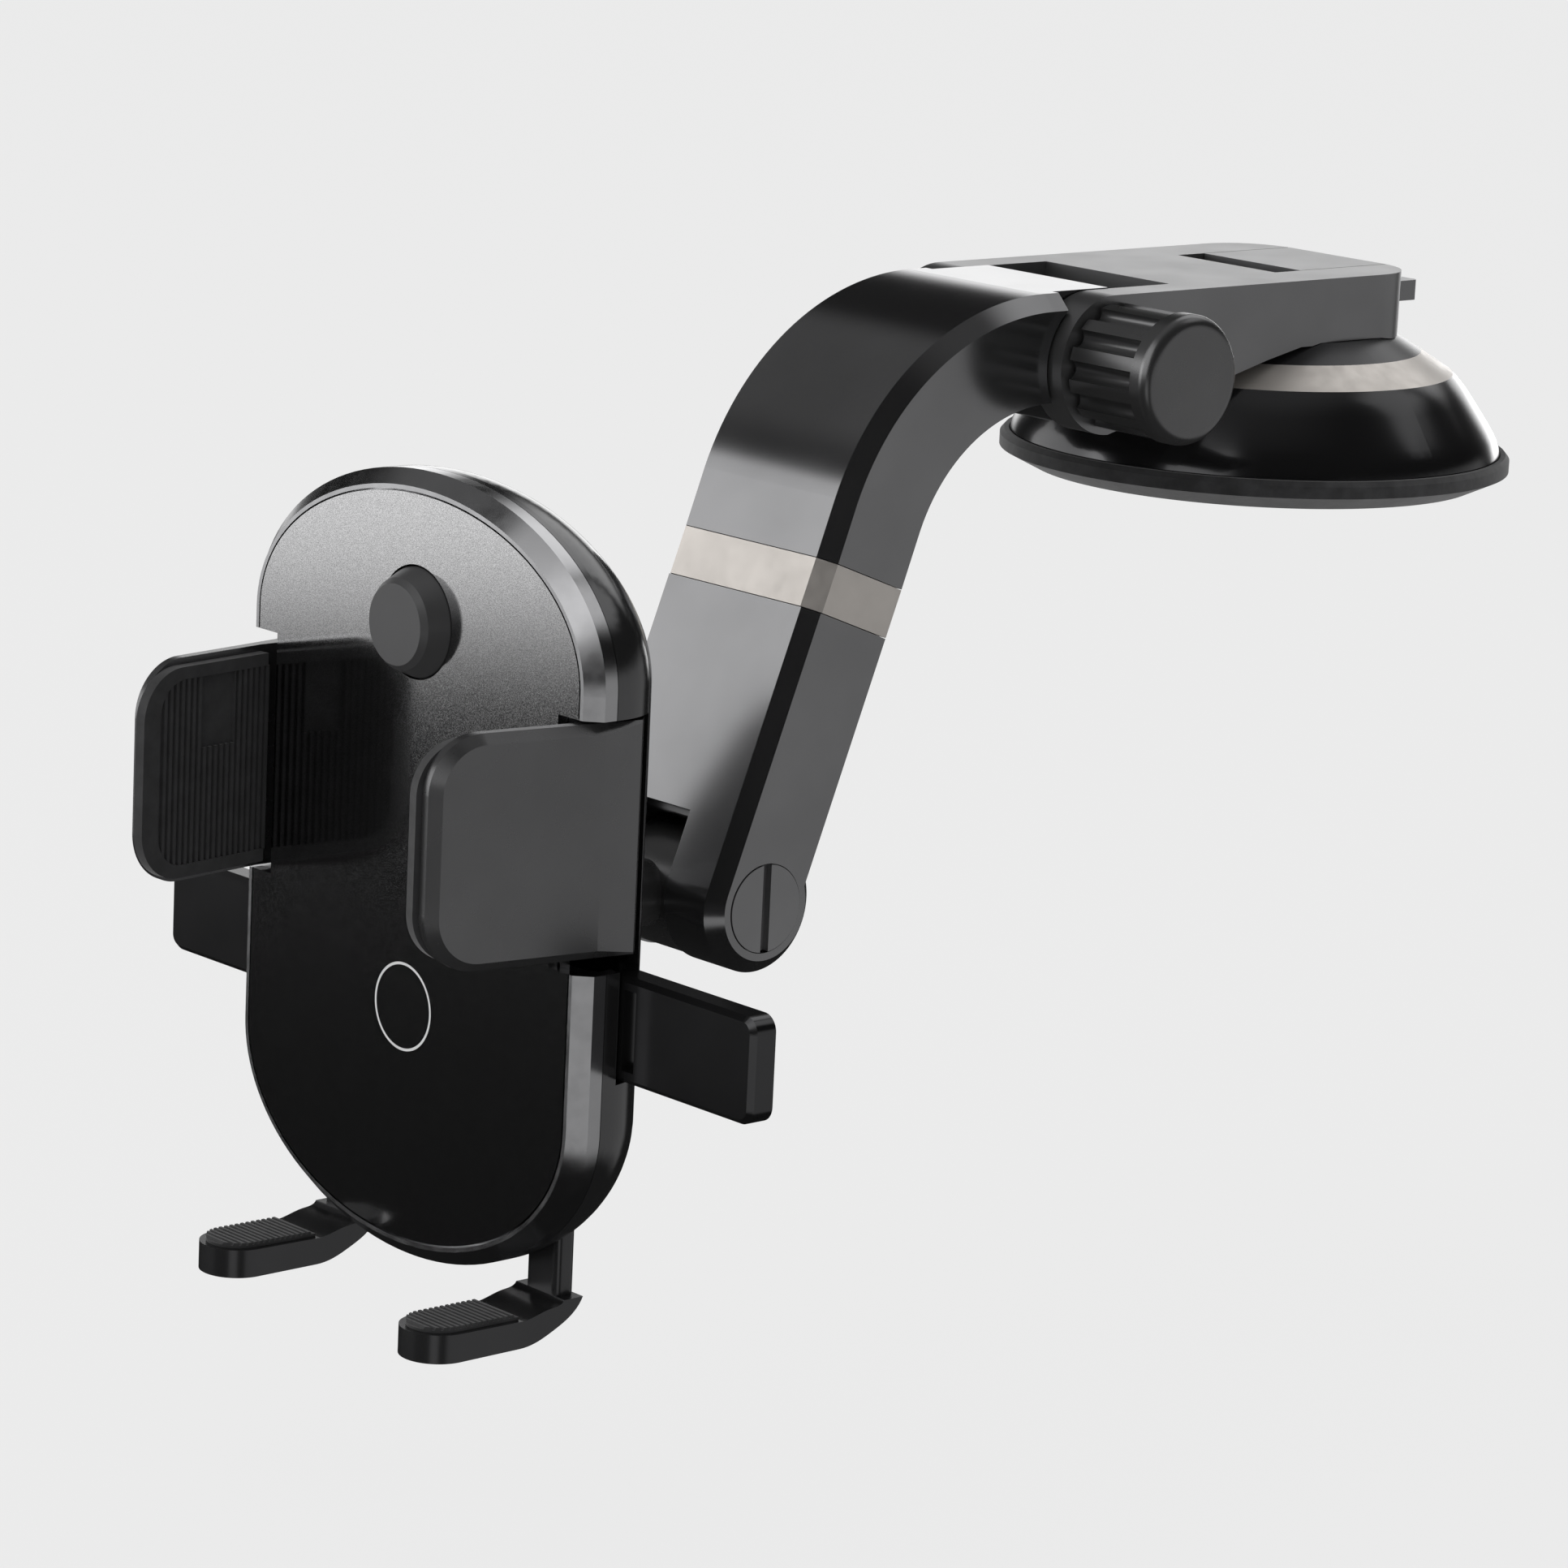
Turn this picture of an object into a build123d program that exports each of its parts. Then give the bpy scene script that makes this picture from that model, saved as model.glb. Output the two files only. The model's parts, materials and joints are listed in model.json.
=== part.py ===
from build123d import *
import os
from math import atan2, cos, degrees, hypot, pi, radians, sin, sqrt, tan

os.makedirs("parts", exist_ok=True)

# ---------------------------------------------------------------- frame
# Millimetres. The origin is the centre of the suction pad's underside, +Z is up,
# +X is the knob side and -Y points from the base towards the driver.

# ---------------------------------------------------------------- suction base
PAD_R = 37.5
PAD_FOOT_R = 33.0
PAD_LIP_Z = 2.2
PAD_TOP_Z = 4.6
PAD_SEAT_Z = 3.4
PAD_SEAT_R = 36.2
DOME_R = 36.0
DOME_SHOULDER_Z = 4.7
TRIM_BOTTOM_R = 28.4
TRIM_BOTTOM_Z = 16.1
TRIM_TOP_R = 23.5
TRIM_TOP_Z = 19.15
TRIM_DEPTH = 2.3
CAP_TOP_R = 19.0
CAP_TOP_Z = 21.7
STEM_R = 2.5
STEM_FIT = 0.06
STEM_DROP = 2.5
LIFT_DISC_R = 21.0
LIFT_DISC_Z = 6.3
LIFT_DISC_T = 1.6

# ---------------------------------------------------------------- bracket and lever
BRACKET_HALF_W = 18.0
BRACKET_TOP_Z = 31.0
BRACKET_REAR_Y = 15.2
BRACKET_REAR_R = 9.0
BRACKET_FLOOR_Z = 21.4
PIVOT_Y = -48.8
PIVOT_Z = 21.2
EAR_R = 9.8
FORK_HALF_W = 12.5
FORK_REAR_Y = -32.7
POCKET_HALF_W = 9.9
POCKET_FRONT_Y = -8.3
POCKET_FLOOR_Z = 24.0
CAM_WELL_REAR_Y = 7.0
LEVER_HALF_W = 9.7
LEVER_FRONT_Y = -2.9
LEVER_T = 2.5
LEVER_SKIRT_T = 1.8
LEVER_SKIRT_Z = 24.4
LEVER_PIN_Z = 27.0
LEVER_PIN_R = 1.5
LEVER_PIN_HALF = 6.3
LEVER_SWING = radians(75)
EYE_R = 2.7
CAM_LIFT = 5.1
CAM_INNER_X = 3.0
CAM_OUTER_X = 6.6
TAB_HALF_W = 5.0
TAB_END_Y = 28.0
TAB_T = 3.0

# ---------------------------------------------------------------- pivot knob
BOLT_R = 2.5
RUN_FIT = 0.05
KNOB_INNER_X = 18.5
KNOB_BARREL_R = 8.8
KNOB_CAP_X = 30.6
KNOB_CAP_R = 9.1
KNOB_END_X = 34.0
FLUTES = 12
FLUTE_R = 1.35

# ---------------------------------------------------------------- arm
ARM_HALF_W = 15.7
ARM_T = 15.0
ARM_CHAMFER = 2.2
BEND_Y = -58.2
BEND_Z = -8.9
BEND_R = 40.0
ARM_TILT = 21.0
SEAM_Y = -98.45
SEAM_Z = -2.41
BAND_LENGTH = 7.1
SEAM_GAP = 0.12
SHOULDER_Y = -55.5
TONGUE_HALF_W = 12.2
TONGUE_R = 9.3
TONGUE_END_Y = -43.4
BARREL_R = 9.3
BARREL_S = 47.2
SLOT_HALF_W = 5.4
SLOT_TOP_S = 37.6
DISC_R = 6.1
DISC_T = 1.6
COIN_SLOT_W = 1.4
SPIGOT_W = 20.0
SPIGOT_T = 7.0

# ---------------------------------------------------------------- ball joint
KNUCKLE_HALF_W = 5.1
KNUCKLE_R = 9.0
NECK_R = 4.6
BALL_R = 8.5
BALL_Y = -132.3
CUP_R = 9.5
SOCKET_R = 10.9
SOCKET_MOUTH_Y = -129.8
NUT_R = 13.0
NUT_BORE_R = 11.2

# ---------------------------------------------------------------- cradle
PANEL_Y = -156.2
PANEL_Z = -11.9
STRAIGHT = 57.4
BODY_HALF_W = 36.5
BODY_RISE = 23.2
BODY_DROP = 25.2
RIM_W = 2.6
RIM_BEVEL = 2.0
RIM_DEPTH = 4.0
GROOVE = 0.25
PANEL_T = 1.6
FRAME_PLATE_FRONT = 1.7
FRAME_PLATE_BACK = 3.3
SHELL_FRONT = 4.1
SHELL_BACK = 15.0
SHELL_WALL = 1.8
SHELL_ROUND = 10.0
NOTCH_HALF_W = 29.7
NOTCH_TOP = -3.2
NOTCH_BOTTOM = -36.4
BUTTON_V = 3.5
BUTTON_R = 7.3

# ---------------------------------------------------------------- clamp drive
MODULE = 0.9
TEETH = 14
PITCH_R = MODULE * TEETH / 2
PRESSURE = radians(20)
RACK_ADDENDUM = 0.68
RACK_DEDENDUM = 1.1
GEAR_ADDENDUM = 0.9
GEAR_ROOT = 0.95
BACKLASH = 0.3
PINION_V = -19.5
PINION_FRONT = 3.6
PINION_BACK = 11.1
CLAMP_LAYER = (3.8, 6.2)
RIGHT_BAR_LAYER = (6.8, 8.6)
LEFT_BAR_LAYER = (9.0, 10.8)
CLAMP_TOP = {1: -3.6, -1: -5.4}
CLAMP_BOTTOM = {1: -34.3, -1: -36.0}
CLAMP_CORNER_R = 7.5
CLAMP_REACH = 21.9
BAR_TOP = {1: -36.9, -1: -41.2}
BAR_BOTTOM = {1: -51.0, -1: -54.7}
BAR_REACH = 62.0
BAR_BLADE_U = 39.4
BAR_T = 3.8
FEET_U = 21.9
FOOT_HALF_W = 5.0
FOOT_TOP = -84.7
FOOT_BOTTOM = -88.4
FOOT_TIP = -14.9
POST_HALF_W = 3.4
POST_FRONT = 7.3
POST_BACK = 10.5
POST_ROUND = 1.2
CARRIAGE_TOP = -55.1
CARRIAGE_BOTTOM = -59.5


def save(builder, label):
    """Label a finished piece and write it as its own file."""
    builder.part.label = label
    export_step(builder.part, f"parts/{label}.step")


def cradle_plane(depth):
    """Plane facing the driver, at a depth behind the front panel's face."""
    return Plane(origin=(0, PANEL_Y + depth, PANEL_Z), x_dir=(1, 0, 0), z_dir=(0, -1, 0))


def cradle_floor(height):
    """Level plane at a height on the cradle: x across, y from front to back."""
    return Plane(origin=(0, PANEL_Y, PANEL_Z + height), x_dir=(1, 0, 0), z_dir=(0, 0, 1))


def cradle_side(across):
    """Plane facing +X on the cradle: x from front to back, y up."""
    return Plane(origin=(across, PANEL_Y, PANEL_Z), x_dir=(0, 1, 0), z_dir=(1, 0, 0))


def side_plane(x):
    """Plane facing +X: x along +Y, y along +Z."""
    return Plane(origin=(x, 0, 0), x_dir=(0, 1, 0), z_dir=(1, 0, 0))


def arm_point(depth, along):
    """Point (y, z) at a depth behind the arm's face and a length down from the band."""
    tilt = radians(ARM_TILT)
    y = SEAM_Y + depth * cos(tilt) - along * sin(tilt)
    z = SEAM_Z - depth * sin(tilt) - along * cos(tilt)
    return (y, z)


BARREL_Y, BARREL_Z = arm_point(BARREL_R, BARREL_S)


def revolved(points):
    """Ring or disc about the suction axis from (radius, height) points."""
    with BuildPart() as ring:
        with BuildSketch(Plane.XZ):
            Polygon(*points, align=None)
        revolve(axis=Axis.Z)
    return ring.part


def cross_cylinder(radius, x0, x1, y, z):
    """Cylinder along X between two stations, centred on (y, z)."""
    with BuildPart() as rod:
        with BuildSketch(side_plane(x0)):
            with Locations((y, z)):
                Circle(radius)
        extrude(amount=x1 - x0)
    return rod.part


def depth_cylinder(radius, front, back, u, v):
    """Cylinder along the cradle's depth between two depths, centred on (u, v)."""
    with BuildPart() as rod:
        with BuildSketch(cradle_plane(back)):
            with Locations((u, v)):
                Circle(radius)
        extrude(amount=back - front)
    return rod.part


def upright_cylinder(radius, z0, z1, x, y):
    """Cylinder along Z between two heights."""
    with BuildPart() as rod:
        with BuildSketch(Plane.XY.offset(z0)):
            with Locations((x, y)):
                Circle(radius)
        extrude(amount=z1 - z0)
    return rod.part


def cradle_block(u0, u1, front, back, v0, v1):
    """Box on the cradle between across, depth and height limits."""
    with BuildPart() as block:
        with BuildSketch(cradle_plane(back)):
            with Locations(((u0 + u1) / 2, (v0 + v1) / 2)):
                Rectangle(abs(u1 - u0), abs(v1 - v0))
        extrude(amount=back - front)
    return block.part


def world_block(x0, x1, y0, y1, z0, z1):
    """Box between frame limits."""
    with BuildPart() as block:
        with BuildSketch(Plane.XY.offset(z0)):
            with Locations(((x0 + x1) / 2, (y0 + y1) / 2)):
                Rectangle(x1 - x0, y1 - y0)
        extrude(amount=z1 - z0)
    return block.part


def arch_outline(depth, inset):
    """Cradle outline: straight sides closed by a half ellipse at the top and bottom."""
    half_w = BODY_HALF_W - inset
    with BuildSketch(cradle_plane(depth)) as outline:
        with BuildLine():
            EllipticalCenterArc((0, 0), half_w, BODY_RISE - inset, start_angle=0, arc_size=180)
            Line((-half_w, 0), (-half_w, -STRAIGHT))
            EllipticalCenterArc((0, -STRAIGHT), half_w, BODY_DROP - inset, start_angle=180, arc_size=180)
            Line((half_w, -STRAIGHT), (half_w, 0))
        make_face()
    return outline.sketch


def arch_slab(front, back, inset):
    """Slab with the cradle's outline, drawn in by an inset, between two depths."""
    with BuildPart() as slab:
        extrude(arch_outline(back, inset), amount=back - front)
    return slab.part


# ================================================================ suction base
with BuildPart() as suction_pad:
    add(revolved([
        (0, 0), (PAD_FOOT_R, 0), (PAD_R, PAD_LIP_Z),
        (PAD_R, 3.9), (36.9, PAD_TOP_Z), (PAD_SEAT_R, PAD_TOP_Z), (PAD_SEAT_R, PAD_SEAT_Z),
        (0, PAD_SEAT_Z),
    ]))
save(suction_pad, "suction_pad")

with BuildPart() as lift_disc:
    add(upright_cylinder(LIFT_DISC_R, LIFT_DISC_Z, LIFT_DISC_Z + LIFT_DISC_T, 0, 0))
    add(upright_cylinder(5.0, LIFT_DISC_Z, LIFT_DISC_Z + LIFT_DISC_T + 1.4, 0, 0))
    add(upright_cylinder(STEM_R, LIFT_DISC_Z - 1, LIFT_DISC_Z + 5, 0, 0), mode=Mode.SUBTRACT)
save(lift_disc, "lift_disc")

SCREW_R = 1.2
SCREW_HEAD_R = 2.3
SCREW_BORE_R = 1.25
BRACKET_SCREWS = [(-13.8, -6.0), (13.8, -6.0), (-13.8, 6.0), (13.8, 6.0)]
DOME_TOP_INNER_Z = 16.6

with BuildPart() as dome_housing:
    with BuildSketch(Plane.XZ):
        with BuildLine():
            Polyline((33.4, PAD_SEAT_Z), (DOME_R, PAD_SEAT_Z), (DOME_R, DOME_SHOULDER_Z))
            Spline((DOME_R, DOME_SHOULDER_Z), (34.3, 8.5), (31.8, 12.1),
                   (TRIM_BOTTOM_R, TRIM_BOTTOM_Z), tangents=((-0.15, 1), (-0.85, 0.75)))
            Polyline((TRIM_BOTTOM_R, TRIM_BOTTOM_Z), (TRIM_BOTTOM_R - TRIM_DEPTH, TRIM_BOTTOM_Z),
                     (TRIM_TOP_R - TRIM_DEPTH, TRIM_TOP_Z), (STEM_R + STEM_FIT, TRIM_TOP_Z),
                     (STEM_R + STEM_FIT, 10.5), (6.5, 10.5), (6.5, DOME_TOP_INNER_Z),
                     (21.0, DOME_TOP_INNER_Z), (25.8, 14.2), (30.0, 10.4), (32.2, 7.2),
                     (33.4, PAD_SEAT_Z))
        make_face()
    revolve(axis=Axis.Z)
    for x, y in BRACKET_SCREWS:
        add(upright_cylinder(SCREW_BORE_R, 14.0, 20.0, x, y), mode=Mode.SUBTRACT)
save(dome_housing, "dome_housing")

with BuildPart() as trim_ring:
    add(revolved([
        (TRIM_BOTTOM_R, TRIM_BOTTOM_Z), (TRIM_TOP_R, TRIM_TOP_Z),
        (TRIM_TOP_R - TRIM_DEPTH, TRIM_TOP_Z), (TRIM_BOTTOM_R - TRIM_DEPTH, TRIM_BOTTOM_Z),
    ]))
save(trim_ring, "trim_ring")

with BuildPart() as dome_cap:
    add(revolved([
        (STEM_R + 0.3, TRIM_TOP_Z), (TRIM_TOP_R, TRIM_TOP_Z), (CAP_TOP_R, CAP_TOP_Z),
        (STEM_R + 0.3, CAP_TOP_Z),
    ]))
    for x, y in BRACKET_SCREWS:
        add(upright_cylinder(SCREW_BORE_R, 18.0, 24.0, x, y), mode=Mode.SUBTRACT)
save(dome_cap, "dome_cap")

# The bracket is a side profile trimmed to a plan with a rounded rear, hollowed for the
# arm's tongue, the suction lever and the pull stem.
with BuildPart() as bracket:
    with BuildSketch(side_plane(-BRACKET_HALF_W)):
        with BuildLine():
            Polyline((PIVOT_Y, PIVOT_Z + EAR_R), (BRACKET_REAR_Y, BRACKET_TOP_Z),
                     (BRACKET_REAR_Y, BRACKET_FLOOR_Z), (-10.5, BRACKET_FLOOR_Z),
                     (-17.5, 19.9), (-24.5, 18.1), (-44.0, 12.6), (PIVOT_Y, PIVOT_Z - EAR_R))
            ThreePointArc((PIVOT_Y, PIVOT_Z - EAR_R), (PIVOT_Y - EAR_R, PIVOT_Z),
                          (PIVOT_Y, PIVOT_Z + EAR_R))
        make_face()
    extrude(amount=2 * BRACKET_HALF_W)
    with BuildSketch(Plane.XY):
        with Locations((0, (BRACKET_REAR_Y - 70.0) / 2)):
            Rectangle(2 * BRACKET_HALF_W, BRACKET_REAR_Y + 70.0)
        fillet(vertices().group_by(Axis.Y)[-1], BRACKET_REAR_R)
    extrude(amount=40.0, mode=Mode.INTERSECT)
    add(revolved([(0, 0), (33.0, 0), (33.0, 11.3), (28.75, 16.2), (23.85, 19.3),
                  (CAP_TOP_R + 0.1, CAP_TOP_Z + 0.05), (0, CAP_TOP_Z + 0.05)]), mode=Mode.SUBTRACT)
    add(world_block(-FORK_HALF_W, FORK_HALF_W, -70.0, FORK_REAR_Y, 5.0, 40.0), mode=Mode.SUBTRACT)
    add(world_block(-POCKET_HALF_W, POCKET_HALF_W, POCKET_FRONT_Y, 20.0, POCKET_FLOOR_Z, 40.0),
        mode=Mode.SUBTRACT)
    add(world_block(-POCKET_HALF_W, POCKET_HALF_W, POCKET_FRONT_Y, CAM_WELL_REAR_Y, 20.0, 30.0),
        mode=Mode.SUBTRACT)
    add(cross_cylinder(BOLT_R + RUN_FIT, -BRACKET_HALF_W - 1, BRACKET_HALF_W + 1, PIVOT_Y, PIVOT_Z),
        mode=Mode.SUBTRACT)
    with BuildSketch(side_plane(-BRACKET_HALF_W)):
        with Locations((PIVOT_Y, PIVOT_Z)):
            RegularPolygon(5.1, 6)
    extrude(amount=3.2, mode=Mode.SUBTRACT)
    for x, y in BRACKET_SCREWS:
        add(upright_cylinder(SCREW_BORE_R, 20.0, 28.2, x, y), mode=Mode.SUBTRACT)
save(bracket, "bracket")

with BuildPart() as bracket_screws:
    for x, y in BRACKET_SCREWS:
        add(upright_cylinder(SCREW_R, DOME_TOP_INNER_Z, 28.0, x, y))
        add(upright_cylinder(SCREW_HEAD_R, DOME_TOP_INNER_Z - 1.6, DOME_TOP_INNER_Z, x, y))
save(bracket_screws, "bracket_screws")

with BuildPart() as lever_pin:
    add(cross_cylinder(LEVER_PIN_R, -LEVER_PIN_HALF, LEVER_PIN_HALF, 0, LEVER_PIN_Z))
save(lever_pin, "lever_pin")

with BuildPart() as pivot_nut:
    with BuildSketch(side_plane(-BRACKET_HALF_W + 0.2)):
        with Locations((PIVOT_Y, PIVOT_Z)):
            RegularPolygon(5.0, 6)
            Circle(BOLT_R + RUN_FIT, mode=Mode.SUBTRACT)
    extrude(amount=3.0)
save(pivot_nut, "pivot_nut")

# ---------------------------------------------------------------- suction lever
def cam_outline():
    """Lifting cam about the lever's pin: its reach falls evenly as the lever opens."""
    fall = STEM_DROP / LEVER_SWING
    steps = 8
    outline = [(LEVER_PIN_R + 1.4, BRACKET_TOP_Z - LEVER_T - LEVER_PIN_Z), (LEVER_PIN_R + 1.4, -CAM_LIFT)]
    for step in range(steps + 1):
        swing = LEVER_SWING * step / steps
        facing = -pi / 2 - swing
        reach = CAM_LIFT - fall * swing
        outline.append((reach * cos(facing) - fall * sin(facing), reach * sin(facing) + fall * cos(facing)))
    outline += [(-2.55, 0), (-2.55, BRACKET_TOP_Z - LEVER_T - LEVER_PIN_Z)]
    return [(y, z + LEVER_PIN_Z) for y, z in outline]


with BuildPart() as suction_lever:
    with BuildSketch(Plane.XY.offset(LEVER_SKIRT_Z)):
        with Locations((0, (BRACKET_REAR_Y + LEVER_FRONT_Y) / 2)):
            Rectangle(2 * LEVER_HALF_W, BRACKET_REAR_Y - LEVER_FRONT_Y)
    extrude(amount=BRACKET_TOP_Z - LEVER_SKIRT_Z)
    add(world_block(-LEVER_HALF_W + LEVER_SKIRT_T, LEVER_HALF_W - LEVER_SKIRT_T, -10.0,
                    BRACKET_REAR_Y - LEVER_SKIRT_T, 20.0, BRACKET_TOP_Z - LEVER_T),
        mode=Mode.SUBTRACT)
    add(world_block(-20.0, 20.0, -10.0, 3.6, 20.0, BRACKET_TOP_Z - LEVER_T), mode=Mode.SUBTRACT)
    for side in (-1, 1):
        with BuildSketch(side_plane(CAM_INNER_X if side > 0 else -CAM_OUTER_X)):
            Polygon(*cam_outline(), align=None)
        extrude(amount=CAM_OUTER_X - CAM_INNER_X)
    add(cross_cylinder(LEVER_PIN_R, -12.0, 12.0, 0, LEVER_PIN_Z), mode=Mode.SUBTRACT)
    add(cross_cylinder(EYE_R + 0.3, -CAM_INNER_X, CAM_INNER_X, 0, LEVER_PIN_Z), mode=Mode.SUBTRACT)
    add(world_block(-CAM_INNER_X, CAM_INNER_X, -5.0, 0, 27.0, LEVER_PIN_Z + EYE_R + 0.3),
        mode=Mode.SUBTRACT)
    with BuildSketch(Plane.XY.offset(LEVER_SKIRT_Z)):
        with Locations((0, (BRACKET_REAR_Y - 1.0 + TAB_END_Y) / 2)):
            RectangleRounded(2 * TAB_HALF_W, TAB_END_Y - BRACKET_REAR_Y + 1.0, 0.9)
    extrude(amount=TAB_T)
save(suction_lever, "suction_lever")

# ---------------------------------------------------------------- pull stem
with BuildPart() as pull_stem:
    add(upright_cylinder(STEM_R, LIFT_DISC_Z, LEVER_PIN_Z, 0, 0))
    add(cross_cylinder(EYE_R, -CAM_INNER_X + 0.4, CAM_INNER_X - 0.4, 0, LEVER_PIN_Z))
    add(cross_cylinder(LEVER_PIN_R, -5.0, 5.0, 0, LEVER_PIN_Z), mode=Mode.SUBTRACT)
save(pull_stem, "pull_stem")

# ---------------------------------------------------------------- pivot knob and bolt
with BuildPart() as pivot_knob:
    add(cross_cylinder(KNOB_BARREL_R, KNOB_INNER_X, KNOB_CAP_X, PIVOT_Y, PIVOT_Z))
    for index in range(FLUTES):
        turn = 2 * pi * index / FLUTES
        add(cross_cylinder(FLUTE_R, KNOB_INNER_X - 1, KNOB_CAP_X,
                           PIVOT_Y + KNOB_BARREL_R * cos(turn), PIVOT_Z + KNOB_BARREL_R * sin(turn)),
            mode=Mode.SUBTRACT)
    with BuildSketch(side_plane(KNOB_CAP_X)):
        with Locations((PIVOT_Y, PIVOT_Z)):
            Circle(KNOB_CAP_R)
    extrude(amount=KNOB_END_X - KNOB_CAP_X)
    fillet(faces().sort_by(Axis.X)[-1].edges(), 1.7)
    add(cross_cylinder(BOLT_R + RUN_FIT, KNOB_INNER_X - 1, 28.2, PIVOT_Y, PIVOT_Z), mode=Mode.SUBTRACT)
save(pivot_knob, "pivot_knob")

with BuildPart() as pivot_bolt:
    add(cross_cylinder(BOLT_R, -BRACKET_HALF_W + 0.4, 28.0, PIVOT_Y, PIVOT_Z))
save(pivot_bolt, "pivot_bolt")


# ================================================================ arm
def arm_front_edges(part, extra_round):
    """Edges where the arm's outer face meets its two sides."""
    tilt = radians(ARM_TILT)
    chosen = []
    for edge in part.edges():
        middle = edge.position_at(0.5)
        if abs(abs(middle.X) - ARM_HALF_W) > 0.01:
            continue
        ahead = (middle.Y - SEAM_Y) * cos(tilt) - (middle.Z - SEAM_Z) * sin(tilt)
        on_face = abs(ahead) < 0.01 and edge.length > 3.0
        on_bend = abs(hypot(middle.Y - BEND_Y, middle.Z - BEND_Z) - BEND_R) < 0.01
        on_top = abs(middle.Z - BEND_Z - BEND_R) < 0.01 and edge.length > 1.0
        on_barrel = extra_round and abs(hypot(middle.Y - BARREL_Y, middle.Z - BARREL_Z) - BARREL_R) < 0.01
        if on_face or on_bend or on_top or on_barrel:
            chosen.append(edge)
    return chosen


BEND_TANGENT_FRONT = (BEND_Y - BEND_R * cos(radians(ARM_TILT)), BEND_Z + BEND_R * sin(radians(ARM_TILT)))
BEND_INNER_R = BEND_R - ARM_T
BEND_TANGENT_REAR = (BEND_Y - BEND_INNER_R * cos(radians(ARM_TILT)),
                     BEND_Z + BEND_INNER_R * sin(radians(ARM_TILT)))
HALF_TURN = radians(90 + (90 - ARM_TILT) / 2)
FACE_TOP = arm_point(0, 0)
REAR_TOP = arm_point(ARM_T, 0)

with BuildPart() as upper_arm:
    with BuildSketch(side_plane(-ARM_HALF_W)):
        with BuildLine():
            Line(FACE_TOP, BEND_TANGENT_FRONT)
            ThreePointArc(BEND_TANGENT_FRONT,
                          (BEND_Y + BEND_R * cos(HALF_TURN), BEND_Z + BEND_R * sin(HALF_TURN)),
                          (BEND_Y, BEND_Z + BEND_R))
            Polyline((BEND_Y, BEND_Z + BEND_R), (SHOULDER_Y, BEND_Z + BEND_R),
                     (SHOULDER_Y, BEND_Z + BEND_INNER_R), (BEND_Y, BEND_Z + BEND_INNER_R))
            ThreePointArc((BEND_Y, BEND_Z + BEND_INNER_R),
                          (BEND_Y + BEND_INNER_R * cos(HALF_TURN), BEND_Z + BEND_INNER_R * sin(HALF_TURN)),
                          BEND_TANGENT_REAR)
            Polyline(BEND_TANGENT_REAR, REAR_TOP, FACE_TOP)
        make_face()
    extrude(amount=2 * ARM_HALF_W)
    chamfer(arm_front_edges(upper_arm.part, False), ARM_CHAMFER)
    add(cross_cylinder(EAR_R + 0.5, -20.0, 20.0, PIVOT_Y, PIVOT_Z), mode=Mode.SUBTRACT)
    with BuildSketch(side_plane(-TONGUE_HALF_W)):
        with BuildLine():
            Polyline((PIVOT_Y - 10.2, BEND_Z + BEND_R), (TONGUE_END_Y - 1.2, BEND_Z + BEND_R),
                     (TONGUE_END_Y, BEND_Z + BEND_R - 1.2), (TONGUE_END_Y, PIVOT_Z),
                     (PIVOT_Y - 10.2, PIVOT_Z - 5.1), (PIVOT_Y - 10.2, BEND_Z + BEND_R))
        make_face()
        with Locations((PIVOT_Y, PIVOT_Z)):
            Circle(TONGUE_R)
    extrude(amount=2 * TONGUE_HALF_W)
    add(cross_cylinder(BOLT_R + RUN_FIT, -20.0, 20.0, PIVOT_Y, PIVOT_Z), mode=Mode.SUBTRACT)
    with BuildSketch(Plane(origin=(0, *arm_point(ARM_T / 2, 0)), x_dir=(1, 0, 0),
                           z_dir=(0, sin(radians(ARM_TILT)), cos(radians(ARM_TILT))))):
        Rectangle(SPIGOT_W, SPIGOT_T)
    extrude(amount=11.0, mode=Mode.SUBTRACT)
save(upper_arm, "upper_arm")

with BuildPart() as arm_band:
    with BuildSketch(side_plane(-ARM_HALF_W)):
        Polygon(arm_point(0, SEAM_GAP), arm_point(0, BAND_LENGTH - SEAM_GAP),
                arm_point(ARM_T, BAND_LENGTH - SEAM_GAP), arm_point(ARM_T, SEAM_GAP), align=None)
    extrude(amount=2 * ARM_HALF_W)
    chamfer(arm_front_edges(arm_band.part, False), ARM_CHAMFER)
    with BuildSketch(Plane(origin=(0, *arm_point(ARM_T / 2, BAND_LENGTH + 1)), x_dir=(1, 0, 0),
                           z_dir=(0, sin(radians(ARM_TILT)), cos(radians(ARM_TILT))))):
        Rectangle(SPIGOT_W, SPIGOT_T)
    extrude(amount=BAND_LENGTH + 3.0, mode=Mode.SUBTRACT)
save(arm_band, "arm_band")

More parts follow.
